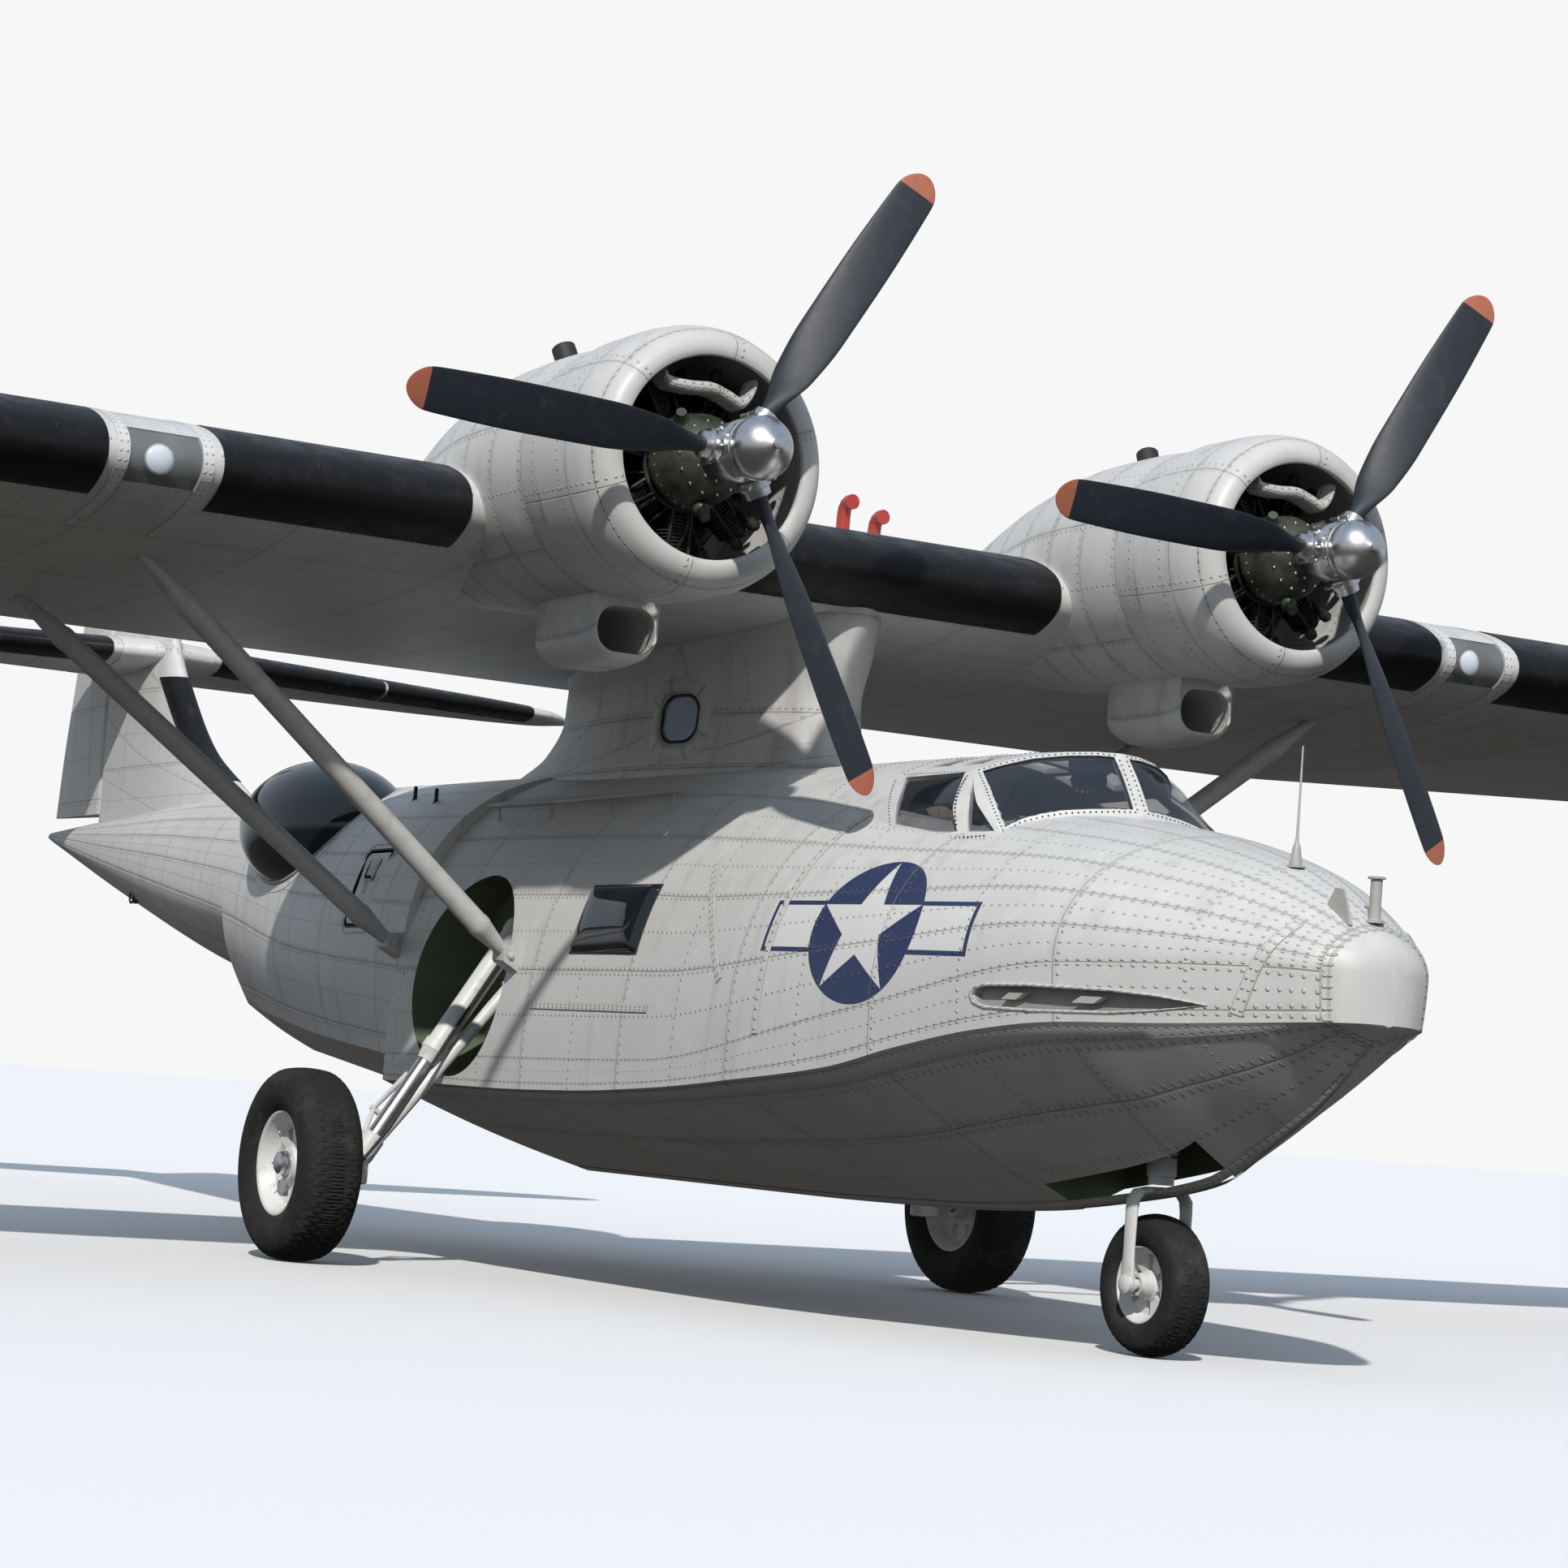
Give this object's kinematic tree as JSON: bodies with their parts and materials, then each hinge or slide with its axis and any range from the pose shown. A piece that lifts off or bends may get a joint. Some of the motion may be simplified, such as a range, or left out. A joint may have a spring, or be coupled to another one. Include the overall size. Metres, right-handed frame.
{
  "type": "amphibious flying boat",
  "caption": "Twin-engined amphibious flying boat in light grey with a parasol wing on a pylon, waist blisters, folding wing-tip floats and wheeled gear",
  "frame": {"origin": "on the ground, under the middle of the overall box", "axes": "nose to -Y, port wing to +X, up +Z"},
  "size_m": [31.704, 19.1533, 6.4716],
  "materials": {
    "hull_grey": "satin",
    "strut_grey": "satin",
    "engine_black": "satin",
    "bright_metal": "satin",
    "blade_black": "satin",
    "wheel_white": "satin",
    "tyre_rubber": "matte",
    "clear_glass": "gloss",
    "dark_glass": "gloss",
    "vent_red": "satin",
    "seat_beige": "matte",
    "panel_black": "matte"
  },
  "bodies": {
    "airframe": {"hull_fore": "hull_grey", "hull_aft": "hull_grey", "canopy_frame": "hull_grey", "canopy_glass": "clear_glass", "wing_centre": "hull_grey", "pylon": "hull_grey", "fin": "hull_grey", "nose_leg": "strut_grey", "seats": "seat_beige", "instrument_panel": "panel_black", "control_column": "panel_black", "vent_pipes": "vent_red", "whip_aerial": "hull_grey", "mast_stub": "hull_grey", "blister_port": "dark_glass", "side_window_port": "dark_glass", "landing_lamp_port": "bright_metal", "wing_outer_port": "hull_grey", "strut_front_port": "strut_grey", "strut_rear_port": "strut_grey", "nacelle_port": "hull_grey", "cowl_port": "hull_grey", "engine_port": "engine_black", "scoop_port": "hull_grey", "exhaust_port": "engine_black", "stabilizer_port": "hull_grey", "main_leg_port": "strut_grey", "blister_starboard": "dark_glass", "side_window_starboard": "dark_glass", "landing_lamp_starboard": "bright_metal", "wing_outer_starboard": "hull_grey", "strut_front_starboard": "strut_grey", "strut_rear_starboard": "strut_grey", "nacelle_starboard": "hull_grey", "cowl_starboard": "hull_grey", "engine_starboard": "engine_black", "scoop_starboard": "hull_grey", "exhaust_starboard": "engine_black", "stabilizer_starboard": "hull_grey", "main_leg_starboard": "strut_grey"},
    "rudder_body": {"rudder": "hull_grey"},
    "elevators": {"elevator_port": "hull_grey", "elevator_starboard": "hull_grey"},
    "nose_gear": {"nose_fork": "strut_grey"},
    "nose_wheel_body": {"nose_wheel": "wheel_white", "nose_tyre": "tyre_rubber"},
    "propeller_port": {"blades_port": "blade_black", "hub_port": "bright_metal"},
    "main_wheel_port": {"wheel_port": "wheel_white", "tyre_port": "tyre_rubber"},
    "aileron_body_port": {"aileron_port": "hull_grey"},
    "float_body_port": {"float_port": "hull_grey"},
    "hatch_body_port": {"hatch_port": "hull_grey"},
    "propeller_starboard": {"blades_starboard": "blade_black", "hub_starboard": "bright_metal"},
    "main_wheel_starboard": {"wheel_starboard": "wheel_white", "tyre_starboard": "tyre_rubber"},
    "aileron_body_starboard": {"aileron_starboard": "hull_grey"},
    "float_body_starboard": {"float_starboard": "hull_grey"},
    "hatch_body_starboard": {"hatch_starboard": "hull_grey"}
  },
  "joints": [
    {"name": "propeller_port", "type": "hinge", "parent": "airframe", "child": "propeller_port", "pos_m": [2.055, -6.29, 4.72], "axis": [0, 1, 0], "continuous": true},
    {"name": "main_wheel_port", "type": "hinge", "parent": "airframe", "child": "main_wheel_port", "pos_m": [2.5, -2.17, 0.6], "axis": [1, 0, 0], "continuous": true},
    {"name": "aileron_port", "type": "hinge", "parent": "airframe", "child": "aileron_body_port", "pos_m": [9.1, -1.291, 4.28118], "axis": [0.9976, -0.0602, 0.0331], "range_deg": [-20, 20]},
    {"name": "float_port", "type": "hinge", "parent": "airframe", "child": "float_body_port", "pos_m": [12.9, -2.498, 4.42385], "axis": [0, 1, 0], "range_deg": [0, 90]},
    {"name": "hatch_port", "type": "hinge", "parent": "airframe", "child": "hatch_body_port", "pos_m": [1.25113, -0.49, 2.665], "axis": [0.0695, -0.9976, 0], "range_deg": [0, 85]},
    {"name": "propeller_starboard", "type": "hinge", "parent": "airframe", "child": "propeller_starboard", "pos_m": [-2.055, -6.29, 4.72], "axis": [0, 1, 0], "continuous": true},
    {"name": "main_wheel_starboard", "type": "hinge", "parent": "airframe", "child": "main_wheel_starboard", "pos_m": [-2.5, -2.17, 0.6], "axis": [1, 0, 0], "continuous": true},
    {"name": "aileron_starboard", "type": "hinge", "parent": "airframe", "child": "aileron_body_starboard", "pos_m": [-9.1, -1.291, 4.28118], "axis": [0.9976, 0.0602, -0.0331], "range_deg": [-20, 20]},
    {"name": "float_starboard", "type": "hinge", "parent": "airframe", "child": "float_body_starboard", "pos_m": [-12.9, -2.498, 4.42385], "axis": [0, -1, 0], "range_deg": [0, 90]},
    {"name": "hatch_starboard", "type": "hinge", "parent": "airframe", "child": "hatch_body_starboard", "pos_m": [-1.25113, -0.49, 2.665], "axis": [0.0695, 0.9976, 0], "range_deg": [0, 85]},
    {"name": "nose_steering", "type": "hinge", "parent": "airframe", "child": "nose_gear", "pos_m": [0, -7.77, 1.07], "axis": [0, 0, 1], "range_deg": [-30, 30]},
    {"name": "nose_wheel", "type": "hinge", "parent": "nose_gear", "child": "nose_wheel_body", "pos_m": [0, -7.77, 0.38], "axis": [1, 0, 0], "continuous": true},
    {"name": "rudder", "type": "hinge", "parent": "airframe", "child": "rudder_body", "pos_m": [0, 8.31, 3.29], "axis": [0, 0, 1], "range_deg": [-20, 20]},
    {"name": "elevators", "type": "hinge", "parent": "airframe", "child": "elevators", "pos_m": [0, 8.66, 4.67], "axis": [1, 0, 0], "range_deg": [-20, 30]}
  ],
  "couplings": [
    {"joint": "aileron_starboard", "follows": "aileron_port", "ratio": -1},
    {"joint": "float_starboard", "follows": "float_port", "ratio": 1}
  ]
}
